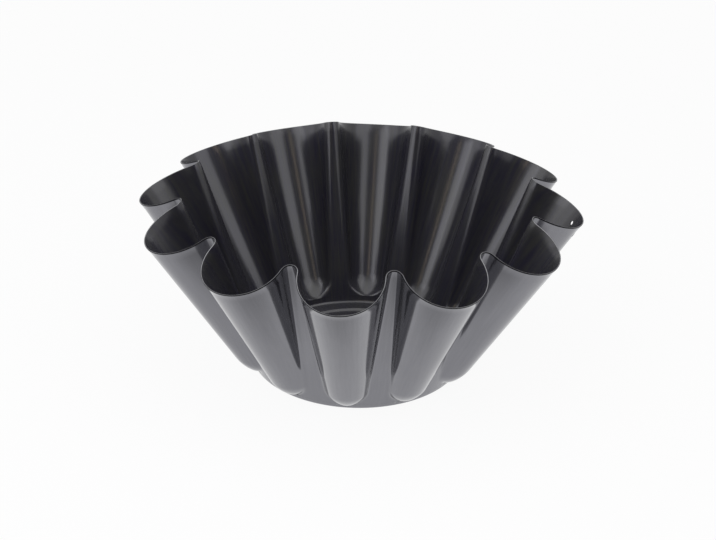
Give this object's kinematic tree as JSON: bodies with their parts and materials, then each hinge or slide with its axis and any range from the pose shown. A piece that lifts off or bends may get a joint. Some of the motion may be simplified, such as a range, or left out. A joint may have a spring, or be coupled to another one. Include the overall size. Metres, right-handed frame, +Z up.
{
  "type": "brioche mould",
  "caption": "Deep fluted brioche mould: flaring pressed steel wall over a round ringed base, dark non-stick lining, two small hanging holes under the rim.",
  "frame": {"origin": "centre of the base, on the plane that the mould stands on", "axes": "+Z up along the mould's axis; +X through the middle of the flute that carries the two hanging holes"},
  "size_m": [0.22, 0.22, 0.093],
  "materials": {
    "lacquered_steel": "satin",
    "nonstick_film": "satin"
  },
  "bodies": {
    "root": {"pressed_shell": "lacquered_steel", "nonstick_lining": "nonstick_film"}
  },
  "joints": []
}
